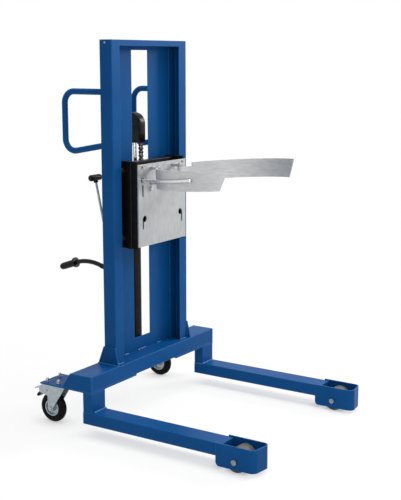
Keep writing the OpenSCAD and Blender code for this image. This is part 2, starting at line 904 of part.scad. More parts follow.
module sheave_cover() {
    black() place() difference() {
        slab(-cover_x - cover_t, cover_x + cover_t) cover_outline(cover_r + cover_t, sheave_z - cover_skirt);
        slab(-cover_x, cover_x) cover_outline(cover_r, sheave_z - cover_skirt - e);
        rod_x(sheave_pin_d / 2, -cover_x - 2 * cover_t, cover_x + 2 * cover_t, ram_y, sheave_z);
    }
}

module sheave() {
    root = sheave_r - link_h / 2 - 0.4;
    half = chain_w / 2 + 2.5;
    color([0.3, 0.3, 0.31]) place() difference() {
        union() {
            rod_x(root, -half, half, ram_y, sheave_z);
            both() rod_x(sheave_r + link_h / 2, -half, 0.4 - chain_w / 2 - 1, ram_y, sheave_z);
        }
        rod_x(sheave_pin_d / 2 + run_gap, -half - e, half + e, ram_y, sheave_z);
    }
}

// Chain: scalloped plates joined by pins

module link_strip(links) {
    for (i = [0 : links - 1])
        translate([0, i * pitch]) circle(d = link_h);
    translate([-link_h / 4, 0]) square([link_h / 2, (links - 0.5) * pitch - face_gap]);
}

module chain_run(links, y, low) {
    plate = chain_w / 6;
    translate([0, y, low]) {
        for (x = [-chain_w / 2, -chain_w / 12 - plate / 2 + 1.5, chain_w / 2 - plate])
            slab(x, x + plate) link_strip(links);
        for (i = [0 : links - 1])
            rod_x(2.5, -chain_w / 2, chain_w / 2, 0, i * pitch);
    }
}

module chain_front() {
    black() place() chain_run(front_links, front_y, front_low);
}

module chain_rear() {
    black() place() chain_run(rear_links, rear_y, rear_low);
}

module chain_wrap() {
    black() place() translate([0, ram_y, sheave_z]) rotate([90, 0, 90]) {
        rotate_extrude(angle = 180) translate([sheave_r - link_h / 4, e - chain_w / 2])
            square([link_h / 2, chain_w - 2 * e]);
        for (i = [0.5 : wrap_links])
            rotate([0, 0, i * 180 / wrap_links]) translate([sheave_r, 0, -chain_w / 2])
                cylinder(d = link_h, h = chain_w);
    }
}

module chain_anchor() {
    low = rear_low - 14;
    black() place() difference() {
        union() {
            rod_z(barrel_d / 2 + 4, low, low + 24, 0, ram_y);
            box([-14, ram_y, low], [14, rear_y + 12, low + 7]);
        }
        rod_z(barrel_d / 2, low - e, low + 24 + e, 0, ram_y);
        box([-12, rear_y - link_h / 2 - 1, low + 7], [12, rear_y + 20, low + 30]);
    }
}

// Carriage

module side_plates() {
    black() place() both() {
        box([-side_out, plate_back, carriage_low], [-side_in, side_bend, carriage_top]);
        box([-rear_out, side_bend - 6, carriage_low], [-rear_in, side_back, carriage_top]);
    }
}

module cross_bars() {
    black() place() {
        for (z = [carriage_low + 20, carriage_top - 6 - cross_h])
            box([-rear_in, cross_y, z], [rear_in, cross_y + cross_d, z + cross_h]);
        for (z = [plate_low + 8, fix_z - cross_h / 2])
            box([-side_in, plate_back, z], [side_in, plate_back + backing_d, z + cross_h]);
        box([-side_in, plate_back + backing_d - e, plate_low + 8],
            [side_in, plate_back + backing_d + sheet_t, fix_z + cross_h / 2]);
    }
}

module chain_lug() {
    low = front_low - 30;
    black() place() {
        box([-12, cross_y + cross_d, low], [12, cross_y + cross_d + 6, carriage_low + 20 + cross_h]);
        box([-12, cross_y + cross_d, low], [12, front_y + link_h / 2, low + 23]);
    }
}

module roller_stubs() {
    steel() place() both() for (z = [guide_low, guide_top]) {
        rod_x(stub_d / 2, -guide_x - guide_w - 2, -rear_out, rail_mid, z);
        rod_x(stub_d / 2 + 4, -guide_x + face_gap, -rear_out, rail_mid, z);
    }
}

module guide_pair(z) {
    color([0.3, 0.3, 0.31]) place() both() difference() {
        rod_x(guide_r, -guide_x - guide_w, -guide_x, rail_mid, z);
        rod_x(stub_d / 2 + run_gap, -guide_x - guide_w - e, e - guide_x, rail_mid, z);
    }
}

module guide_rollers_top() {
    guide_pair(guide_top);
}

module guide_rollers_low() {
    guide_pair(guide_low);
}

// Clamp plate and hinges

module plate_cut(d, x, z) {
    rod_y(d / 2, -plate_lead - e, plate_back + e, x, z);
}

module plate_slit(w, x, z0, z1) {
    plate_cut(w, x, z0);
    plate_cut(w, x, z1);
    box([x - w / 2, -plate_lead - e, z0], [x + w / 2, plate_back + e, z1]);
}

module clamp_plate() {
    zinc() place() difference() {
        box([-plate_w / 2, -plate_lead, plate_low], [plate_w / 2, plate_back, plate_top]);
        both() {
            plate_cut(corner_d, corner_x - plate_w / 2, plate_top - corner_z);
            plate_cut(tie_slot, -tie_out + tie_slot / 2, tie_z);
            plate_cut(tie_slot, -tie_in - tie_slot / 2, tie_z);
            box([-tie_out + tie_slot / 2, -plate_lead - e, tie_z - tie_slot / 2],
                [-tie_in - tie_slot / 2, plate_back + e, tie_z + tie_slot / 2]);
            plate_slit(slit_w, -slit_x, slit_z - slit_l / 2 + slit_w / 2, slit_z + slit_l / 2 - slit_w / 2);
            plate_cut(key_d, -key_x, key_z);
            plate_slit(slit_w, -slit_x + 1, key_z + key_d / 2 - key_l + slit_w / 2, key_z);
            plate_cut(fix_d, -fix_x, fix_z);
        }
    }
}

module plate_bolts() {
    steel() place() both() translate([-fix_x, -plate_lead, fix_z]) rotate([90, 0, 0]) {
        translate([0, 0, -plate_t]) cylinder(d = fix_d, h = plate_t);
        cylinder(d = 2 * fix_d, h = 2);
        translate([0, 0, 2]) hex(1.75 * fix_d, 8);
    }
}

module hinge_lug(z) {
    difference() {
        union() {
            rod_z(knuckle_r, z, z + lug_t, -hinge_x, hinge_y);
            box([-hinge_x - knuckle_r, hinge_y, z], [knuckle_r - hinge_x, -plate_lead, z + lug_t]);
        }
        rod_z(pin_r, z - e, z + lug_t + e, -hinge_x, hinge_y);
    }
}

module hinge_lugs() {
    zinc() place() both() {
        hinge_lug(neck_low - face_gap - lug_t);
        hinge_lug(neck_top + face_gap);
    }
}

module hinge_pins() {
    low = neck_low - face_gap - lug_t;
    steel() place() both() translate([-hinge_x, hinge_y, low]) {
        cylinder(r = pin_r, h = neck_top - neck_low + 2 * lug_t + 2 * face_gap);
        translate([0, 0, -8]) hex(19, 8);
        translate([0, 0, neck_top - neck_low + 2 * lug_t + 2 * face_gap]) cylinder(r = 9, h = 5);
    }
}

// Clamp arms, drawn on the left; angles count from the front

module band(from, to, low, high, grow = 0) {
    translate([0, -cradle_reach, low]) rotate([0, 0, 270 - to])
        rotate_extrude(angle = to - from) translate([cradle_r - grow, 0])
            square([arm_t + 2 * grow, high - low]);
}

module slanted_end() {
    translate([0, -cradle_reach, arm_mid]) rotate([0, 0, 270 - arm_end]) translate([cradle_r - 20, 0, 0])
        slab(0, 60) polygon([[-1.1 * arm_slant, -0.55 * arm_h], [90, -0.55 * arm_h],
            [90, 0.55 * arm_h], [1.1 * arm_slant, 0.55 * arm_h]]);
}

// Tilts an arm about its hinge, front end up
module tilted() {
    translate([0, hinge_y, arm_mid]) rotate([-arm_tilt, 0, 0]) translate([0, -hinge_y, -arm_mid]) children();
}

module arm() {
    zinc() difference() {
        union() {
            difference() {
                tilted() difference() {
                    band(arm_end - 10, hinge_a + 1, arm_low, arm_top);
                    slanted_end();
                }
                band(arm_neck, hinge_a + 3, arm_low - lug_t, neck_low + e, arm_t);
                band(arm_neck, hinge_a + 3, neck_top - e, arm_top + lug_t, arm_t);
            }
            rod_z(knuckle_r, neck_low, neck_top, -hinge_x, hinge_y);
        }
        rod_z(pin_r + run_gap, neck_low - e, neck_top + e, -hinge_x, hinge_y);
        at_tie() tie_hook();
    }
}

module arm_left() {
    place() arm();
}

module arm_right() {
    place() mirror([1, 0, 0]) arm();
}

// Tie rod: straight through the plate, then bent round the arm, with its end hooked into the arm

module at_tie() {
    translate([0, -plate_lead, tie_z]) rotate([-tie_tilt, 0, 0])
        translate([0, plate_lead - cradle_reach, 0]) children();
}

module tie_hook() {
    rotate([0, 0, 270 - tie_end]) translate([cradle_r + arm_t / 2, 0, 0]) rotate([0, 90, 0])
        cylinder(d = tie_d - 3, h = tie_r - cradle_r - arm_t / 2);
}

module tie_rod() {
    zinc() at_tie() {
        rotate([0, 0, 270 - tie_touch]) translate([tie_r, -tie_run - tie_tail, 0]) {
            rotate([-90, 0, 0]) cylinder(d = tie_d, h = tie_run + tie_tail);
            rotate([-90, 0, 0]) cylinder(d = tie_d + 8, h = 8);
        }
        rotate([0, 0, 270 - tie_touch]) rotate_extrude(angle = tie_touch - tie_end)
            translate([tie_r, 0]) circle(d = tie_d);
        tie_hook();
        rotate([0, 0, 270 - tie_end]) translate([tie_r, 0, 0]) sphere(d = tie_d + 2);
    }
}

module tie_rod_left() {
    place() tie_rod();
}

module tie_rod_right() {
    place() mirror([1, 0, 0]) tie_rod();
}

// Pump

// A rectangle from the front y to the tank's back, with the tank's round rear corners
module tank_outline(front) {
    translate([-tank_w / 2, front]) square([tank_w, tank_back - tank_r - front]);
    translate([tank_r - tank_w / 2, front]) square([tank_w - 2 * tank_r, tank_back - front]);
    for (x = [tank_r - tank_w / 2, tank_w / 2 - tank_r])
        translate([x, tank_back - tank_r]) circle(r = tank_r);
}

module pump_shelf() {
    blue() place() {
        translate([0, 0, beam_top - 6]) linear_extrude(height = 6) tank_outline(beam_back);
        both() slab(-tank_w / 2, 6 - tank_w / 2)
            polygon([[beam_back, beam_top - 6], [tank_back - tank_r, beam_top - 6], [beam_back, beam_low]]);
    }
}

module pump_tank() {
    black() place() difference() {
        union() {
            translate([0, 0, beam_top]) linear_extrude(height = tank_h) tank_outline(tank_y);
            rod_z(plunger_d / 2 + 7, tank_top, tank_top + 40, 0, pivot_y + plunger_y);
            both() slab(-22, -14) {
                translate([pivot_y, pivot_z]) circle(r = 13);
                translate([pivot_y - 13, tank_top]) square([26, pivot_z - tank_top]);
            }
            rod_x(pivot_d / 2, -26, 26, pivot_y, pivot_z);
            at_release() translate([0, 0, -8]) cylinder(r = 12, h = 40);
        }
        rod_z(plunger_d / 2 + run_gap, tank_top - 60, tank_top + 41, 0, pivot_y + plunger_y);
        at_release() translate([0, 0, -20]) cylinder(r = release_d / 2 + run_gap, h = 70);
    }
}

module pressure_pipe() {
    steel() place() rod_y(5, ram_y + foot_back, tank_y, 0, beam_top + seat_h / 2);
}

// Its domed tip rests just under the lever
module plunger() {
    reach = (lever_d + plunger_d) / 2 + face_gap;
    tip_z = pivot_z + (plunger_y * sin(lever_a) - reach) / cos(lever_a);
    steel() place() translate([0, pivot_y + plunger_y, 0]) {
        rod_z(plunger_d / 2, tank_top - 40, tip_z, 0, 0);
        translate([0, 0, tip_z]) sphere(d = plunger_d);
    }
}

module pump_lever() {
    black() place() difference() {
        union() {
            rod_x(15, -12, 12, pivot_y, pivot_z);
            translate([0, pivot_y, pivot_z]) rotate([lever_a - 90, 0, 0]) {
                cylinder(d = lever_d, h = lever_l);
                translate([0, 0, lever_l - 4]) cylinder(d = lever_d + 2, h = 8);
            }
            translate([0, crest_y, crest_z]) rotate([0, -90, 0]) rotate([0, 0, -lever_a])
                rotate_extrude(angle = 2 * lever_a) translate([lever_bend, 0]) circle(d = lever_d);
            translate([0, fall_y, rise_z]) rotate([-lever_a - 90, 0, 0]) {
                translate([0, 0, -5]) cylinder(d = handle_d + 16, h = 8);
                cylinder(d = lever_d - 4, h = grip_len - 6);
            }
        }
        rod_x(pivot_d / 2 + run_gap, -13, 13, pivot_y, pivot_z);
    }
}

module lever_grip() {
    black() place() translate([0, fall_y, rise_z]) rotate([-lever_a - 90, 0, 0]) difference() {
        union() {
            translate([0, 0, 3]) cylinder(d = handle_d, h = grip_len - 3);
            translate([0, 0, grip_len]) sphere(d = handle_d);
            for (i = [1 : 5])
                translate([0, 0, i * grip_len / 6]) cylinder(d = handle_d + 2, h = 5);
        }
        translate([0, 0, -e]) cylinder(d = lever_d - 4, h = grip_len - 5);
    }
}

// Release rod and knob, along the leaning axis

module at_release() {
    translate([-release_x, release_y, tank_top]) rotate([-release_a, 0, 0]) children();
}

module release_rod() {
    steel() place() at_release() translate([0, 0, -10]) cylinder(d = release_d, h = release_len);
}

module release_knob() {
    black() place() at_release() translate([0, 0, release_len - 10]) difference() {
        union() {
            translate([-knob_l / 2 + knob_d / 2, 0, 0]) rotate([0, 90, 0])
                cylinder(d = knob_d, h = knob_l - knob_d);
            for (s = [-1, 1])
                translate([s * (knob_l - knob_d) / 2, 0, 0]) sphere(d = knob_d);
            translate([0, 0, -knob_d / 2 - 8]) cylinder(d = 20, h = 12);
        }
        translate([0, 0, -knob_d]) cylinder(d = release_d, h = knob_d);
    }
}

base_beam();
caster_brackets();
end_plates();
leg_posts();
straddle_legs();
roller_housings();
roller_axles();
front_roller_left();
front_roller_right();
caster_caps();
caster_bolts();
fork_left();
fork_right();
rim_left();
rim_right();
tyre_left();
tyre_right();
pedal_left();
pedal_right();
mast_rails();
rear_panel();
top_bar();
top_bolts();
foot_gussets();
push_handles();
barrel();
gland();
pump_shelf();
pump_tank();
pressure_pipe();
chain_anchor();
piston_rod();
yoke();
sheave_pin();
sheave_cover();
chain_wrap();
sheave();
chain_front();
chain_rear();
side_plates();
cross_bars();
chain_lug();
roller_stubs();
guide_rollers_top();
guide_rollers_low();
clamp_plate();
plate_bolts();
hinge_lugs();
hinge_pins();
arm_left();
arm_right();
tie_rod_left();
tie_rod_right();
plunger();
pump_lever();
lever_grip();
release_rod();
release_knob();
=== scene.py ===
"""Looks of the drum lifter: finishes, welds, chain links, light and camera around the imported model.

Metres, in the model's frame: +Z up, the legs and the clamp point to -Y, X runs across the mast.
"""

import json
import math

import bmesh
import bpy
from mathutils import Matrix, Vector


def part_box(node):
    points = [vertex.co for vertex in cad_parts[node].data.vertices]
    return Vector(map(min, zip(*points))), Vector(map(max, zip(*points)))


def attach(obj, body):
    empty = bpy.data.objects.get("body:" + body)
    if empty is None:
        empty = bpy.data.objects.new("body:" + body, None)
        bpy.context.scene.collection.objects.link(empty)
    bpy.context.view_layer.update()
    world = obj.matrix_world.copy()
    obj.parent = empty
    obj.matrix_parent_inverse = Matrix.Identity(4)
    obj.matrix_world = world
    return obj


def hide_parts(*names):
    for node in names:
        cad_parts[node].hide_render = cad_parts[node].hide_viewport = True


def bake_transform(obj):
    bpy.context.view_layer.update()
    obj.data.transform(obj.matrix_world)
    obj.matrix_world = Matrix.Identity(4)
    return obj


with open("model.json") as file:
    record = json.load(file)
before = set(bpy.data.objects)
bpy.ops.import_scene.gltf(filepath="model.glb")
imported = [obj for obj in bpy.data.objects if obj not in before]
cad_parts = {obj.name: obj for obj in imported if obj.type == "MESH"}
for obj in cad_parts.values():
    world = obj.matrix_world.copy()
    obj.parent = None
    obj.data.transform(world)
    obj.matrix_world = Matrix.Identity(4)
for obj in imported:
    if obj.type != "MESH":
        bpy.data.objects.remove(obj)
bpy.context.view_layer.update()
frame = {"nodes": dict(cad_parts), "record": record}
nodes = frame["nodes"]

SIDES = (("left", -1), ("right", 1))

# Camera, fitted to the photograph
TARGET = Vector((0.0522, -0.0957, 0.7390))
AZIMUTH = math.radians(-57.32)
ELEVATION = math.radians(10.22)
DISTANCE = 4.3205
LENS = 74.22
SHIFT = (-0.0082, -0.0137)

# Paint and metal colours, linear
BLUE = (0.0035, 0.072, 0.236)
BLUE_DEEP = (0.0025, 0.063, 0.212)
# Painted highlight colour, used for the lighter edges of the paint and for mottling the weld beads
BLUE_PAINTED_HIGHLIGHT = (0.022, 0.150, 0.380)
ZINC_PALE = (0.58, 0.59, 0.59)
ZINC_LIGHT = (0.47, 0.48, 0.49)
ZINC_MID = (0.39, 0.40, 0.41)
ZINC_DARK = (0.30, 0.31, 0.32)
ZINC_BLUE = (0.45, 0.51, 0.54)
ZINC_BLUE_DARK = (0.33, 0.38, 0.41)
ZINC_BRIGHT = (0.82, 0.82, 0.81)
ZINC_BRIGHT_DARK = (0.66, 0.67, 0.67)
BLACK = (0.004, 0.004, 0.0045)
BLACK_WORN = (0.010, 0.0095, 0.009)
CHAIN_WORN = (0.06, 0.058, 0.055)
CHROME = (0.86, 0.87, 0.88)
CHROME_DARK = (0.66, 0.67, 0.69)
# Painted shade, darkening the zinc in its slots and hollows
PAINTED_SHADE = (0.015, 0.015, 0.015)
STEEL = (0.42, 0.42, 0.42)
STEEL_LIGHT = (0.62, 0.62, 0.61)
STEEL_DULL = (0.17, 0.20, 0.23)
STEEL_DULL_LIGHT = (0.27, 0.31, 0.34)
STEEL_BLACK = (0.05, 0.05, 0.05)
STEEL_BLACK_LIGHT = (0.12, 0.12, 0.12)
NYLON = (0.125, 0.123, 0.121)
NYLON_DARK = (0.080, 0.079, 0.077)
RUBBER = (0.006, 0.006, 0.006)
RUBBER_DUSTY = (0.014, 0.0135, 0.013)


# Materials

# Reach of the painted highlight along edges and of the painted shade in hollows
EDGE_HIGHLIGHT_REACH = 0.004
HOLLOW = 0.010
# Cosine of the surface's turn from full painted highlight to none, and its openness from full painted
# shade to none
EDGE_TURN = (0.85, 0.99)
HOLLOW_SHADE = (0.25, 0.70)
# Where most of a noise texture's values lie, and where only its peaks do
NOISE_SPAN = (0.3, 0.7)
NOISE_PEAKS = (0.45, 0.8)
# Depths of relief
FINE = 0.0002
COARSE = 0.0003


class Finish:
    """A procedural material on the principled shader, in the part's own coordinates."""

    def __init__(self, name, metallic=0.0, specular=0.5):
        self.material = bpy.data.materials.new(name)
        self.material.use_nodes = True
        self.tree = self.material.node_tree
        self.shader = self.tree.nodes["Principled BSDF"]
        self.shader.inputs["Metallic"].default_value = metallic
        self.shader.inputs["Specular IOR Level"].default_value = specular
        self.position = self.add("ShaderNodeTexCoord").outputs["Object"]
        self.height = None

    def add(self, kind, **inputs):
        node = self.tree.nodes.new(kind)
        for socket, value in inputs.items():
            node.inputs[socket].default_value = value
        return node

    def link(self, source, target):
        self.tree.links.new(source, target)

    def stretched(self, scale):
        """The part's coordinates multiplied by scale, one number per axis."""
        mapping = self.add("ShaderNodeMapping", Scale=scale)
        self.link(self.position, mapping.inputs["Vector"])
        return mapping.outputs["Vector"]

    def noise(self, scale, detail=3.0, stretch=(1, 1, 1)):
        texture = self.add("ShaderNodeTexNoise", Scale=scale, Detail=detail)
        self.link(self.stretched(stretch), texture.inputs["Vector"])
        return texture.outputs[0]

    def edges(self, radius):
        """1 along the edges and 0 on the faces, by how far the surface turns within the radius."""
        turn = self.add("ShaderNodeVectorMath")
        turn.operation = "DOT_PRODUCT"
        self.link(self.add("ShaderNodeBevel", Radius=radius).outputs["Normal"], turn.inputs[0])
        self.link(self.add("ShaderNodeNewGeometry").outputs["Normal"], turn.inputs[1])
        return self.ranged(turn.outputs["Value"], 1, 0, EDGE_TURN)

    def hollows(self, distance):
        """1 deep in slots and corners and 0 in the open."""
        shade = self.add("ShaderNodeAmbientOcclusion", Distance=distance)
        return self.ranged(shade.outputs["AO"], 1, 0, HOLLOW_SHADE)

    def ranged(self, value, low, high, span=NOISE_SPAN):
        """The value's span, mapped to low and high."""
        mapped = self.add("ShaderNodeMapRange")
        mapped.inputs["From Min"].default_value = span[0]
        mapped.inputs["From Max"].default_value = span[1]
        mapped.inputs["To Min"].default_value = low
        mapped.inputs["To Max"].default_value = high
        self.link(value, mapped.inputs["Value"])
        return mapped.outputs["Result"]

    def colour(self, value, dark, light, span=NOISE_SPAN):
        """Sets the colour, from dark to light over the value's span."""
        ramp = self.add("ShaderNodeValToRGB")
        for stop, place, shade in zip(ramp.color_ramp.elements, span, (dark, light)):
            stop.position = place
            stop.color = (*shade, 1)
        self.link(value, ramp.inputs["Fac"])
        self.link(ramp.outputs["Color"], self.shader.inputs["Base Color"])

    def painted_light_towards(self, mask, other):
        """Draws the colour towards another where the mask is 1, for a painted highlight or a painted
        shade.
        """
        mix = self.add("ShaderNodeMixRGB", Color2=(*other, 1))
        under = self.shader.inputs["Base Color"].links[0].from_socket
        self.link(mask, mix.inputs["Fac"])
        self.link(under, mix.inputs["Color1"])
        self.link(mix.outputs["Color"], self.shader.inputs["Base Color"])

    def rough(self, value, low, high):
        self.link(self.ranged(value, low, high), self.shader.inputs["Roughness"])

    def bump(self, value, strength, depth):
        """Adds relief of that depth, over any relief already there."""
        node = self.add("ShaderNodeBump", Strength=strength, Distance=depth)
        self.link(value, node.inputs["Height"])
        if self.height:
            self.link(self.height, node.inputs["Normal"])
        self.height = node.outputs["Normal"]
        self.link(self.height, self.shader.inputs["Normal"])


def powder_coat():
    """Satin blue with a slight orange peel and faint clouds, with a painted highlight along the edges."""
    finish = Finish("blue_paint", specular=0.06)
    finish.colour(finish.noise(7), BLUE_DEEP, BLUE)
    # Painted highlight: the colour is drawn lighter along the edges
    finish.painted_light_towards(finish.edges(EDGE_HIGHLIGHT_REACH), BLUE_PAINTED_HIGHLIGHT)
    finish.rough(finish.noise(60), 0.34, 0.42)
    finish.bump(finish.noise(150, detail=1), 0.025, COARSE)
    return finish.material


def weld_paint():
    """The blue, mottled towards the lighter painted highlight colour, lying thick and glossy over the
    beads.
    """
    finish = Finish("blue_weld", specular=0.3)
    # Painted highlight: the beads are mottled towards the lighter painted highlight colour
    finish.colour(finish.noise(90), BLUE, BLUE_PAINTED_HIGHLIGHT)
    finish.rough(finish.noise(120), 0.26, 0.38)
    finish.bump(finish.noise(400), 0.10, COARSE)
    return finish.material


def zinc_sheet(name, dark, light, grain, smooth=0.38, dull=0.55):
    """Zinc with soft mottling, drawn out along its grain, and painted shade in its slots."""
    finish = Finish(name, metallic=0.70)
    finish.colour(finish.noise(80, detail=8, stretch=grain), dark, light)
    # Painted shade: the zinc is drawn darker in its slots and hollows
    finish.painted_light_towards(finish.hollows(HOLLOW), PAINTED_SHADE)
    finish.rough(finish.noise(160, stretch=grain), smooth, dull)
    finish.bump(finish.noise(260, detail=2, stretch=grain), 0.08, COARSE)
    return finish.material


def bright_zinc():
    """Fresh plating on a rod, bright and finely mottled."""
    finish = Finish("zinc_bright", metallic=0.55)
    finish.colour(finish.noise(90, detail=4), ZINC_BRIGHT_DARK, ZINC_BRIGHT)
    finish.rough(finish.noise(150), 0.28, 0.40)
    finish.bump(finish.noise(500), 0.06, FINE)
    return finish.material


def black_paint():
    finish = Finish("black_paint", specular=0.18)
    finish.colour(finish.noise(30, detail=5), BLACK, BLACK_WORN, NOISE_PEAKS)
    finish.rough(finish.noise(80), 0.32, 0.5)
    finish.bump(finish.noise(500, detail=2), 0.08, COARSE)
    return finish.material


def moulded_plastic():
    finish = Finish("black_plastic", specular=0.14)
    finish.colour(finish.noise(50), BLACK, BLACK_WORN)
    finish.rough(finish.noise(300), 0.28, 0.42)
    finish.bump(finish.noise(1400, detail=1), 0.12, FINE)
    return finish.material


def oiled_chain():
    finish = Finish("chain_steel", metallic=0.6)
    finish.colour(finish.noise(120, detail=4), BLACK, CHAIN_WORN)
    finish.rough(finish.noise(200), 0.25, 0.45)
    finish.bump(finish.noise(700), 0.1, FINE)
    return finish.material


def chromed_rod():
    """Polished, with faint rings left by the seal."""
    finish = Finish("chrome", metallic=1.0)
    finish.colour(finish.noise(30, stretch=(0.2, 0.2, 6)), CHROME_DARK, CHROME)
    finish.rough(finish.noise(60, stretch=(0.2, 0.2, 8)), 0.08, 0.18)
    finish.bump(finish.noise(120, stretch=(0.1, 0.1, 8)), 0.03, FINE)
    return finish.material


def plated_bolt(name, dark, light):
    finish = Finish(name, metallic=0.9)
    finish.colour(finish.noise(90, detail=4), dark, light)
    finish.rough(finish.noise(180), 0.25, 0.42)
    finish.bump(finish.noise(600), 0.08, FINE)
    return finish.material


def turned_steel():
    """Dark, with turning marks round the X axis."""
    finish = Finish("dark_steel", metallic=0.8)
    finish.colour(finish.noise(60, detail=4), STEEL_BLACK, STEEL_BLACK_LIGHT)
    finish.rough(finish.noise(120, stretch=(4, 0.3, 0.3)), 0.28, 0.45)
    finish.bump(finish.noise(300, stretch=(5, 0.2, 0.2)), 0.1, FINE)
    return finish.material


def cast_nylon():
    """Grey, with turning marks round the X axis and grime from the floor."""
    finish = Finish("roller_nylon", specular=0.3)
    finish.colour(finish.noise(45, detail=5), NYLON_DARK, NYLON)
    finish.rough(finish.noise(90), 0.42, 0.6)
    finish.bump(finish.noise(240, stretch=(6, 0.3, 0.3)), 0.15, COARSE)
    return finish.material


def tyre_rubber():
    finish = Finish("tyre_rubber", specular=0.06)
    finish.colour(finish.noise(70, detail=5), RUBBER, RUBBER_DUSTY, NOISE_PEAKS)
    finish.rough(finish.noise(110), 0.5, 0.72)
    finish.bump(finish.noise(900), 0.15, FINE)
    return finish.material


# Grain of the zinc: what its coordinates are multiplied by along each axis
UPRIGHT = (1, 1, 0.4)
LEVEL = (0.4, 0.4, 1.6)
EVEN = (1, 1, 1)

# One finish for each material slot
FINISHES = {
    "blue_paint": powder_coat(),
    "zinc": zinc_sheet("zinc", ZINC_DARK, ZINC_LIGHT, EVEN),
    "black_paint": black_paint(),
    "black_plastic": moulded_plastic(),
    "chain_steel": oiled_chain(),
    "chrome": chromed_rod(),
    "bolt_steel": plated_bolt("bolt_steel", STEEL, STEEL_LIGHT),
    "dark_steel": turned_steel(),
    "roller_nylon": cast_nylon(),
    "tyre_rubber": tyre_rubber(),
}

# Finishes of some nodes that differ from their slot's
WEARERS = (
    (zinc_sheet("zinc_plate", ZINC_MID, ZINC_LIGHT, UPRIGHT),
     ("clamp_plate",)),
    (zinc_sheet("zinc_arm", ZINC_LIGHT, ZINC_PALE, LEVEL, smooth=0.52, dull=0.66),
     ("arm_left", "arm_right")),
    (zinc_sheet("zinc_caster", ZINC_BLUE_DARK, ZINC_BLUE, EVEN),
     ("caster_caps", "fork_left", "fork_right", "rim_left", "rim_right")),
    (bright_zinc(),
     ("tie_rod_left", "tie_rod_right")),
    (plated_bolt("bolt_dull", STEEL_DULL, STEEL_DULL_LIGHT),
     ("roller_axles", "top_bolts", "release_rod")),
)
SPECIAL_FINISHES = {node: finish for finish, wearers in WEARERS for node in wearers}

# Rounding of the solids' edges, with the nodes that have it
ROUNDINGS = {
    0.0004: ("caster_brackets",),
    0.0005: ("base_beam", "straddle_legs", "leg_posts"),
    0.0008: ("mast_rails", "rear_panel", "clamp_plate", "arm_left", "arm_right", "caster_bolts",
             "plate_bolts", "top_bolts", "hinge_pins"),
    0.001: ("chain_lug", "hinge_lugs", "fork_left", "fork_right", "caster_caps", "barrel", "roller_axles",
            "rim_left", "rim_right", "release_knob"),
    0.0012: ("top_bar", "side_plates", "yoke", "pump_lever", "lever_grip"),
    0.0015: ("roller_housings", "end_plates", "foot_gussets", "pump_shelf", "gland"),
    0.002: ("pump_tank", "cross_bars", "pedal_left", "pedal_right", "front_roller_left",
            "front_roller_right"),
}
SOFT_EDGES = {node: width for width, names in ROUNDINGS.items() for node in names}
EDGE_ANGLE = math.radians(35)
EDGE_SEGMENTS = 3
FLAT_ANGLE = math.radians(0.5)
WELD_DISTANCE = 0.00002


def bevel_edges(piece, width, segments):
    bevel = piece.modifiers.new("round", "BEVEL")
    bevel.width = width
    bevel.segments = segments
    bevel.limit_method = "ANGLE"
    bevel.angle_limit = EDGE_ANGLE


def soften(piece, width):
    """Rounds the sharp edges of a solid without changing its mesh."""
    weld = piece.modifiers.new("join", "WELD")
    weld.merge_threshold = WELD_DISTANCE
    merge = piece.modifiers.new("flatten", "DECIMATE")
    merge.decimate_type = "DISSOLVE"
    merge.angle_limit = FLAT_ANGLE
    bevel_edges(piece, width, EDGE_SEGMENTS)
    normals = piece.modifiers.new("shade", "WEIGHTED_NORMAL")
    normals.keep_sharp = True


for entry in frame["record"]["subparts"]:
    piece = nodes[entry["node"]]
    piece.data.materials.clear()
    piece.data.materials.append(SPECIAL_FINISHES.get(entry["node"], FINISHES[entry["material_slot"]]))
    if entry["node"] in SOFT_EDGES:
        soften(piece, SOFT_EDGES[entry["node"]])


# Pieces modelled here

def piece_from(mesh, name, body, slot, smooth=True, finish=None):
    """An object made of a bmesh, in its slot's finish or another, that rides on a body if one is named."""
    bmesh.ops.recalc_face_normals(mesh, faces=mesh.faces)
    data = bpy.data.meshes.new(name)
    mesh.to_mesh(data)
    mesh.free()
    for face in data.polygons:
        face.use_smooth = smooth
    piece = bpy.data.objects.new(name, data)
    bpy.context.scene.collection.objects.link(piece)
    data.materials.append(finish or FINISHES[slot])
    if body:
        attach(piece, body)
    return piece


def regular(radius, corners):
    """The corners of a regular polygon, as points across and up."""
    points = []
    for k in range(corners):
        turn = math.tau * k / corners
        points.append((radius * math.cos(turn), radius * math.sin(turn)))
    return points


def sweep(mesh, path, radii, sides=8, closed=False):
    """A tube of varying radius along a path of points."""
    count = len(path)
    rings = []
    side = None
    for i, point in enumerate(path):
        before = path[i - 1] if i or closed else point
        after = path[(i + 1) % count] if i + 1 < count or closed else point
        along = (after - before).normalized()
        turned = along.orthogonal() if side is None else side - side.dot(along) * along
        side = turned.normalized()
        up = along.cross(side)
        rings.append([mesh.verts.new(point + u * side + v * up) for u, v in regular(radii[i], sides)])
    last = count if closed else count - 1
    for i in range(last):
        a, b = rings[i], rings[(i + 1) % count]
        for k in range(sides):
            mesh.faces.new((a[k], a[k - 1], b[k - 1], b[k]))
    if not closed:
        mesh.faces.new(rings[0])
        mesh.faces.new(reversed(rings[-1]))


def rod(mesh, start, end, radius, sides):
    sweep(mesh, [start, end], [radius, radius], sides)


def prism(mesh, outline, start, end, place):
    """A flat outline given thickness from start to end along its normal, then placed."""
    low = [mesh.verts.new(place @ Vector((u, v, start))) for u, v in outline]
    high = [mesh.verts.new(place @ Vector((u, v, end))) for u, v in outline]
    mesh.faces.new(reversed(low))
    mesh.faces.new(high)
    for i in range(len(outline)):
        mesh.faces.new((low[i - 1], low[i], high[i], high[i - 1]))


# Weld beads

# Length of a ripple, its depth as a share of the bead's radius, and the step along the bead
RIPPLE = 0.0055
RIPPLE_DEPTH = 0.16
BEAD_STEP = 0.0014
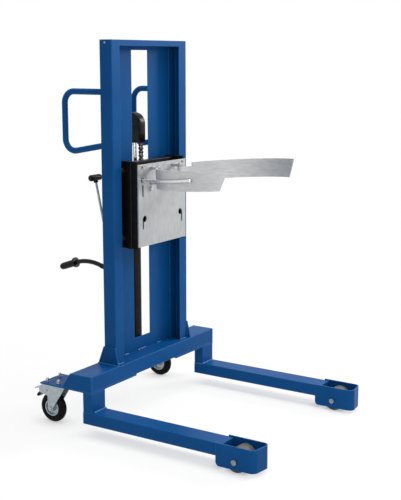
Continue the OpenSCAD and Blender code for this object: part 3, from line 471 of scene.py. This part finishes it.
# Radii of the beads
PANEL_BEAD = 0.0045
POST_BEAD = 0.0048
FOOT_BEAD = 0.0035
RAIL_BEAD = 0.003
THIN_BEAD = 0.0026
GUSSET_BEAD = 0.0022
# Stitches along the rear panel's foot: from and to across the mast, and how far before and above it
PANEL_STITCHES = (("left", -0.136, -0.106), ("middle", -0.036, 0.024), ("right", 0.106, 0.136))
PANEL_LEAD = 0.001
PANEL_RISE = 0.002
# How far a bead's middle lies inside the faces that it joins, and stops short of their ends
SIDE_SINK = 0.0016
SIDE_DROP = 0.0014
BRACKET_SINK = 0.0014
BRACKET_RISE = 0.0010
CORNER_STOP = 0.016
END_STOP = 0.004
GUSSET_STOP = 0.006
# Width of a leg, and reach of a bracket from the leg's outer side
LEG_WIDTH = 0.090
BRACKET_LENGTH = 0.304
# Push handles where they meet the mast
GRIP_X = 0.2375
GRIP_R = 0.0125
GRIP_TOP = 1.369
GRIP_FOOT = 1.155
GRIP_PROUD = 0.0012
GRIP_POINTS = 24
WELD_FINISH = weld_paint()


def bead(name, points, radius, closed=False, finish=WELD_FINISH):
    """A rippled weld along straight stretches between points."""
    path = []
    corners = points + points[:1] if closed else points
    for a, b in zip(corners, corners[1:]):
        steps = max(2, round((b - a).length / BEAD_STEP))
        path += [a.lerp(b, i / steps) for i in range(steps)]
    if not closed:
        path.append(points[-1])
    radii = []
    for i in range(len(path)):
        swell = abs(math.sin(math.pi * i * BEAD_STEP / RIPPLE))
        radii.append(radius * (1 - RIPPLE_DEPTH + RIPPLE_DEPTH * swell))
    mesh = bmesh.new()
    sweep(mesh, path, radii, closed=closed)
    piece_from(mesh, name, "chassis", "blue_paint", finish=finish)


def weld_all():
    beam_low, beam_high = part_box("base_beam")
    leg_low, leg_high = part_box("straddle_legs")
    post_low, post_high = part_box("leg_posts")
    rail_low, rail_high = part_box("mast_rails")
    foot_low, foot_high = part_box("foot_gussets")
    panel_low, panel_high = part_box("rear_panel")
    stitch_y = panel_low.y - PANEL_LEAD
    stitch_z = panel_low.z + PANEL_RISE
    for name, start, end in PANEL_STITCHES:
        ends = [Vector((x, stitch_y, stitch_z)) for x in (start, end)]
        bead(f"weld_panel_{name}", ends, PANEL_BEAD)
    inner = leg_high.x - LEG_WIDTH
    outer = leg_high.x - SIDE_SINK
    side_z = leg_high.z - SIDE_DROP
    bracket_y = beam_low.y + BRACKET_SINK
    bracket_z = beam_low.z + BRACKET_RISE
    # Beads of the right side, with their radius and finish; without one they have the plain paint
    runs = (
        ("post", POST_BEAD, WELD_FINISH, (
            (leg_high.x - CORNER_STOP, post_low.y, leg_high.z),
            (inner, post_low.y, leg_high.z),
            (inner, post_high.y - END_STOP, leg_high.z))),
        ("post_side", THIN_BEAD, None, (
            (outer, post_low.y + END_STOP, side_z),
            (outer, post_high.y - END_STOP, side_z))),
        ("bracket", THIN_BEAD, None, (
            (beam_high.x, bracket_y, bracket_z),
            (leg_high.x - BRACKET_LENGTH, bracket_y, bracket_z))),
        ("foot", FOOT_BEAD, WELD_FINISH, (
            (foot_high.x, foot_low.y, foot_low.z),
            (foot_high.x, foot_high.y, foot_low.z))),
        ("rail", RAIL_BEAD, WELD_FINISH, (
            (rail_high.x, rail_low.y, rail_low.z),
            (panel_high.x, rail_low.y, rail_low.z))),
        ("gusset", GUSSET_BEAD, WELD_FINISH, (
            (rail_high.x, rail_low.y, foot_low.z + GUSSET_STOP),
            (rail_high.x, rail_low.y, foot_high.z))),
    )
    grip = regular(GRIP_R + GRIP_PROUD, GRIP_POINTS)
    for side, sign in SIDES:
        for name, radius, finish, points in runs:
            placed = [Vector((sign * x, y, z)) for x, y, z in points]
            bead(f"weld_{name}_{side}", placed, radius, finish=finish)
        for name, height in (("upper", GRIP_TOP), ("lower", GRIP_FOOT)):
            ring = [Vector((sign * (GRIP_X + u), rail_high.y, height + v)) for u, v in grip]
            bead(f"weld_grip_{name}_{side}", ring, THIN_BEAD, closed=True)


# Chain

PITCH = 0.015875
LINK_R = 0.007
LINK_OPENING = math.radians(48)
LINK_STEPS = 12
WAIST = 0.0034
PLATE = 0.0017
OUTER_X = 0.0090
INNER_X = 0.0070
PIN_R = 0.0026
PIN_SIDES = 12
CHAIN_ROLLER_R = 0.0050
CHAIN_ROLLER_SIDES = 14
WRAP_LINKS = 7


def link_outline():
    """Two round ends joined by a narrow waist, from one pin to the next."""
    near = []
    for k in range(LINK_STEPS + 1):
        turn = LINK_OPENING + (math.tau - 2 * LINK_OPENING) * k / LINK_STEPS
        near.append((LINK_R * math.cos(turn), LINK_R * math.sin(turn)))
    far = [(PITCH - u, -v) for u, v in near]
    return near + [(PITCH / 2, -WAIST)] + far + [(PITCH / 2, WAIST)]


def chain(mesh, pins):
    """Inner and outer links in turn, with pins and rollers."""
    outline = link_outline()
    normal = Vector((1, 0, 0))
    for i, (a, b) in enumerate(zip(pins, pins[1:])):
        along = (b - a).normalized()
        across = normal.cross(along)
        place = Matrix.Translation(a) @ Matrix((along, across, normal)).transposed().to_4x4()
        edge = OUTER_X if i % 2 else INNER_X
        for face in (-edge, edge - PLATE):
            prism(mesh, outline, face, face + PLATE, place)
    reach = OUTER_X * normal
    width = (INNER_X - PLATE) * normal
    for pin in pins:
        rod(mesh, pin - reach, pin + reach, PIN_R, PIN_SIDES)
        rod(mesh, pin - width, pin + width, CHAIN_ROLLER_R, CHAIN_ROLLER_SIDES)


def chain_all():
    sheave_low, sheave_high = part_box("sheave")
    hub = (sheave_low + sheave_high) / 2
    wrap_r = WRAP_LINKS * PITCH / math.pi
    wrap = []
    for i in range(WRAP_LINKS):
        turn = math.pi * (i + 0.5) / WRAP_LINKS
        wrap.append(hub + Vector((0, -wrap_r * math.cos(turn), wrap_r * math.sin(turn))))
    ends = []
    for node, y in (("chain_front", hub.y - wrap_r), ("chain_rear", hub.y + wrap_r)):
        low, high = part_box(node)
        count = round((hub.z - low.z - LINK_R) / PITCH + 0.5)
        pins = [Vector((0, y, hub.z - (i + 0.5) * PITCH)) for i in range(count)]
        ends.append(pins[0])
        mesh = bmesh.new()
        chain(mesh, pins)
        run = piece_from(mesh, node + "_links", None, "chain_steel", smooth=False)
        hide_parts(node)
        if node == "chain_front":
            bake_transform(run)
        else:
            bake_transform(run)
    mesh = bmesh.new()
    chain(mesh, ends[:1] + wrap + ends[1:])
    over = piece_from(mesh, "chain_wrap_links", "ram", "chain_steel", smooth=False)
    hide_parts("chain_wrap")


# Sheave cover

COVER_ROUND = 0.007
COVER_WALL = 0.002
COVER_STEPS = 6
ARCH_STEPS = 28


def arch(radius, crown, low):
    """A round arch on straight sides, as points across and up."""
    points = [(-radius, low)]
    for k in range(ARCH_STEPS + 1):
        turn = math.pi * k / ARCH_STEPS
        points.append((-radius * math.cos(turn), crown + radius * math.sin(turn)))
    points.append((radius, low))
    return points


def sheave_hood():
    """The moulded cover with soft outer edges, open below."""
    low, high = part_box("sheave_cover")
    centre = (low + high) / 2
    half = (high.x - low.x) / 2
    radius = (high.y - low.y) / 2
    crown = high.z - radius
    levels = []
    for k in range(COVER_STEPS + 1):
        turn = math.pi / 2 * k / COVER_STEPS
        levels.append((half - COVER_ROUND * (1 - math.sin(turn)), COVER_ROUND * (1 - math.cos(turn))))
    across = [(-x, inset) for x, inset in reversed(levels)] + levels
    mesh = bmesh.new()
    rings = []
    for x, inset in across:
        outline = arch(radius - inset, crown, low.z)
        rings.append([mesh.verts.new((x, centre.y + u, v)) for u, v in outline])
    for a, b in zip(rings, rings[1:]):
        for k in range(len(a) - 1):
            mesh.faces.new((a[k], a[k + 1], b[k + 1], b[k]))
    mesh.faces.new(rings[0])
    mesh.faces.new(reversed(rings[-1]))
    hood = piece_from(mesh, "sheave_hood", "ram", "black_plastic")
    wall = hood.modifiers.new("wall", "SOLIDIFY")
    wall.thickness = COVER_WALL
    wall.offset = -1
    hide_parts("sheave_cover")


# Carriage

STRIP_START = 0.030
STRIP_END = 0.049
STRIP_PROUD = 0.003
STRIP_STEP = 0.004
NOSE_STEPS = 6


def side_strip(name, sign):
    """A wear strip along the rear of a carriage side plate, with a round front edge."""
    low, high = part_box("side_plates")
    inner = high.x - STRIP_STEP
    outer = high.x + STRIP_PROUD
    radius = (outer - inner) / 2
    start = low.y + STRIP_START + radius
    outline = [(inner, low.y + STRIP_END)]
    for k in range(NOSE_STEPS + 1):
        turn = math.pi * k / NOSE_STEPS
        outline.append((inner + radius * (1 - math.cos(turn)), start - radius * math.sin(turn)))
    outline.append((outer, low.y + STRIP_END))
    mesh = bmesh.new()
    prism(mesh, [(sign * x, y) for x, y in outline], low.z, high.z, Matrix.Identity(4))
    piece_from(mesh, name, "carriage", "black_paint", smooth=False)


# Pump

TANK_TOP = 0.430
TANK_ROUND = 0.042
CORNER_STEPS = 10
LID_EDGE = 0.002
LID_DEPTH = 0.006
LID_RISE = 0.002
LID_BEVEL = 0.001
# Lid bolts, from the tank's middle and from its front
LID_BOLTS = ((0.050, 0.014), (0.050, 0.056), (-0.050, 0.056))
BOLT_R = 0.0065
BOLT_TOP = 0.005
BOLT_BEVEL = 0.0005
WASHER_R = 0.0085
WASHER_TOP = 0.0015
# Filler plug, placed in the same way
FILLER_X = -0.034
FILLER_Y = 0.075
FILLER_R = 0.010
FILLER_TOP = 0.012
FILLER_BEVEL = 0.0008
COLLAR_R = 0.013
COLLAR_TOP = 0.003
# How far washers and collar sink into the lid
SEAT = 0.001
ROUND_SIDES = 24
HEX_SIDES = 6
FITTING_SEGMENTS = 2


def tank_lid(low, high):
    """A lid plate over the tank, with the tank's round rear corners."""
    half = high.x + LID_EDGE
    back = high.y + LID_EDGE
    radius = TANK_ROUND + LID_EDGE
    outline = [(-half, low.y - LID_EDGE), (half, low.y - LID_EDGE)]
    for side, first in ((1, 0), (-1, 90)):
        for k in range(CORNER_STEPS + 1):
            turn = math.radians(first + 90 * k / CORNER_STEPS)
            x = side * (half - radius) + radius * math.cos(turn)
            y = back - radius + radius * math.sin(turn)
            outline.append((x, y))
    mesh = bmesh.new()
    prism(mesh, outline, TANK_TOP - LID_DEPTH, TANK_TOP + LID_RISE, Matrix.Identity(4))
    lid = piece_from(mesh, "tank_lid", "chassis", "black_paint", smooth=False)
    bevel_edges(lid, LID_BEVEL, FITTING_SEGMENTS)


def tank_fittings(low):
    """Lid bolts, and the filler plug on its collar."""
    lid = TANK_TOP + LID_RISE
    mesh = bmesh.new()
    for x, y in LID_BOLTS:
        place = Matrix.Translation((x, low.y + y, lid))
        prism(mesh, regular(WASHER_R, ROUND_SIDES), -SEAT, WASHER_TOP, place)
        prism(mesh, regular(BOLT_R, HEX_SIDES), WASHER_TOP, BOLT_TOP, place)
    bolts = piece_from(mesh, "tank_bolts", "chassis", "bolt_steel", smooth=False)
    bevel_edges(bolts, BOLT_BEVEL, FITTING_SEGMENTS)
    place = Matrix.Translation((FILLER_X, low.y + FILLER_Y, lid))
    mesh = bmesh.new()
    prism(mesh, regular(COLLAR_R, ROUND_SIDES), -SEAT, COLLAR_TOP, place)
    prism(mesh, regular(FILLER_R, HEX_SIDES), COLLAR_TOP, FILLER_TOP, place)
    plug = piece_from(mesh, "filler_plug", "chassis", "bolt_steel", smooth=False)
    bevel_edges(plug, FILLER_BEVEL, FITTING_SEGMENTS)


weld_all()
chain_all()
sheave_hood()
for side, sign in SIDES:
    side_strip(f"strip_{side}", sign)
tank_lid(*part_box("pump_tank"))
tank_fittings(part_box("pump_tank")[0])


# Floor, light and camera

WHITE = (1, 1, 1, 1)
FLOOR_COLOUR = (0.90, 0.90, 0.90, 1)
FLOOR_SIZE = 60.0
# Distances from the middle between which the floor fades to plain white
FLOOR_NEAR = 0.9
FLOOR_FAR = 1.9
# Share of plain white near the object, in the open and close under it
FLOOR_GLOW = 0.84
CONTACT_GLOW = 0.42
# Reach of the deeper shadow close under the object, and how open the floor lies where it is deepest
SHADOW_REACH = 0.08
SHADOW_DEEPEST = 0.3
AMBIENT = 0.45
# Place, point that it faces, width and height, and watts of each lamp
SOFTBOXES = {
    "key": ((4.0, -2.2, 2.8), (0, 0, 0.8), (1.3, 1.3), 140),
    "fill": ((-3.6, -2.4, 1.8), (0, 0, 0.7), (2.0, 2.0), 30),
    "top": ((0.4, -0.6, 4.2), (0, -0.2, 0), (2.2, 2.2), 105),
}


def seen_directly(tree):
    """1 for rays that show the backdrop: from the camera, or by a reflection or a transparent piece."""
    path = tree.nodes.new("ShaderNodeLightPath")
    total = path.outputs["Is Camera Ray"]
    for ray in ("Is Glossy Ray", "Is Transmission Ray"):
        both = tree.nodes.new("ShaderNodeMath")
        both.operation = "MAXIMUM"
        tree.links.new(total, both.inputs[0])
        tree.links.new(path.outputs[ray], both.inputs[1])
        total = both.outputs[0]
    return total


def glow_share(tree):
    """The floor's share of plain white: least close under the object, and all of it further off."""
    shade = tree.nodes.new("ShaderNodeAmbientOcclusion")
    shade.inputs["Distance"].default_value = SHADOW_REACH
    close = tree.nodes.new("ShaderNodeMapRange")
    close.inputs["From Min"].default_value = SHADOW_DEEPEST
    close.inputs["To Min"].default_value = CONTACT_GLOW
    close.inputs["To Max"].default_value = FLOOR_GLOW
    place = tree.nodes.new("ShaderNodeTexCoord")
    distance = tree.nodes.new("ShaderNodeVectorMath")
    distance.operation = "LENGTH"
    fade = tree.nodes.new("ShaderNodeMapRange")
    fade.interpolation_type = "SMOOTHSTEP"
    fade.inputs["From Min"].default_value = FLOOR_NEAR
    fade.inputs["From Max"].default_value = FLOOR_FAR
    tree.links.new(shade.outputs["AO"], close.inputs["Value"])
    tree.links.new(close.outputs["Result"], fade.inputs["To Min"])
    tree.links.new(place.outputs["Object"], distance.inputs[0])
    tree.links.new(distance.outputs["Value"], fade.inputs["Value"])
    return fade.outputs["Result"]


def pale_floor():
    """White ground with a soft shadow, deepest close under the object, that fades to plain white."""
    material = bpy.data.materials.new("floor")
    material.use_nodes = True
    tree = material.node_tree
    tree.nodes.clear()
    output = tree.nodes.new("ShaderNodeOutputMaterial")
    matt = tree.nodes.new("ShaderNodeBsdfDiffuse")
    matt.inputs["Color"].default_value = FLOOR_COLOUR
    glow = tree.nodes.new("ShaderNodeEmission")
    share = tree.nodes.new("ShaderNodeMath")
    share.operation = "MULTIPLY"
    mix = tree.nodes.new("ShaderNodeMixShader")
    tree.links.new(glow_share(tree), share.inputs[0])
    tree.links.new(seen_directly(tree), share.inputs[1])
    tree.links.new(share.outputs[0], mix.inputs["Fac"])
    tree.links.new(matt.outputs["BSDF"], mix.inputs[1])
    tree.links.new(glow.outputs["Emission"], mix.inputs[2])
    tree.links.new(mix.outputs["Shader"], output.inputs["Surface"])
    return material


def floor():
    bpy.ops.mesh.primitive_plane_add(size=FLOOR_SIZE)
    ground = bpy.context.object
    ground.name = "floor"
    ground.data.materials.append(pale_floor())


def white_world():
    """Even light on the object, before a plain white backdrop."""
    world = bpy.data.worlds.new("studio")
    world.use_nodes = True
    tree = world.node_tree
    light = tree.nodes["Background"]
    light.inputs["Color"].default_value = WHITE
    light.inputs["Strength"].default_value = AMBIENT
    backdrop = tree.nodes.new("ShaderNodeBackground")
    backdrop.inputs["Color"].default_value = WHITE
    mix = tree.nodes.new("ShaderNodeMixShader")
    tree.links.new(seen_directly(tree), mix.inputs["Fac"])
    tree.links.new(light.outputs["Background"], mix.inputs[1])
    tree.links.new(backdrop.outputs["Background"], mix.inputs[2])
    tree.links.new(mix.outputs["Shader"], tree.nodes["World Output"].inputs["Surface"])
    bpy.context.scene.world = world


def softbox(name, place, aim, size, power):
    lamp = bpy.data.lights.new(name, "AREA")
    lamp.shape = "RECTANGLE"
    lamp.size, lamp.size_y = size
    lamp.energy = power
    holder = bpy.data.objects.new(name, lamp)
    holder.location = place
    holder.rotation_euler = (Vector(aim) - Vector(place)).to_track_quat("-Z", "Y").to_euler()
    bpy.context.scene.collection.objects.link(holder)


def camera():
    data = bpy.data.cameras.new("camera")
    data.lens = LENS
    data.shift_x, data.shift_y = SHIFT
    holder = bpy.data.objects.new("camera", data)
    flat = math.cos(ELEVATION)
    away = Vector((math.sin(AZIMUTH) * flat, -math.cos(AZIMUTH) * flat, math.sin(ELEVATION)))
    holder.location = TARGET + DISTANCE * away
    holder.rotation_euler = (-away).to_track_quat("-Z", "Y").to_euler()
    bpy.context.scene.collection.objects.link(holder)
    bpy.context.scene.camera = holder


floor()
white_world()
for name, settings in SOFTBOXES.items():
    softbox(name, *settings)
camera()

bpy.context.scene.view_settings.view_transform = "Standard"
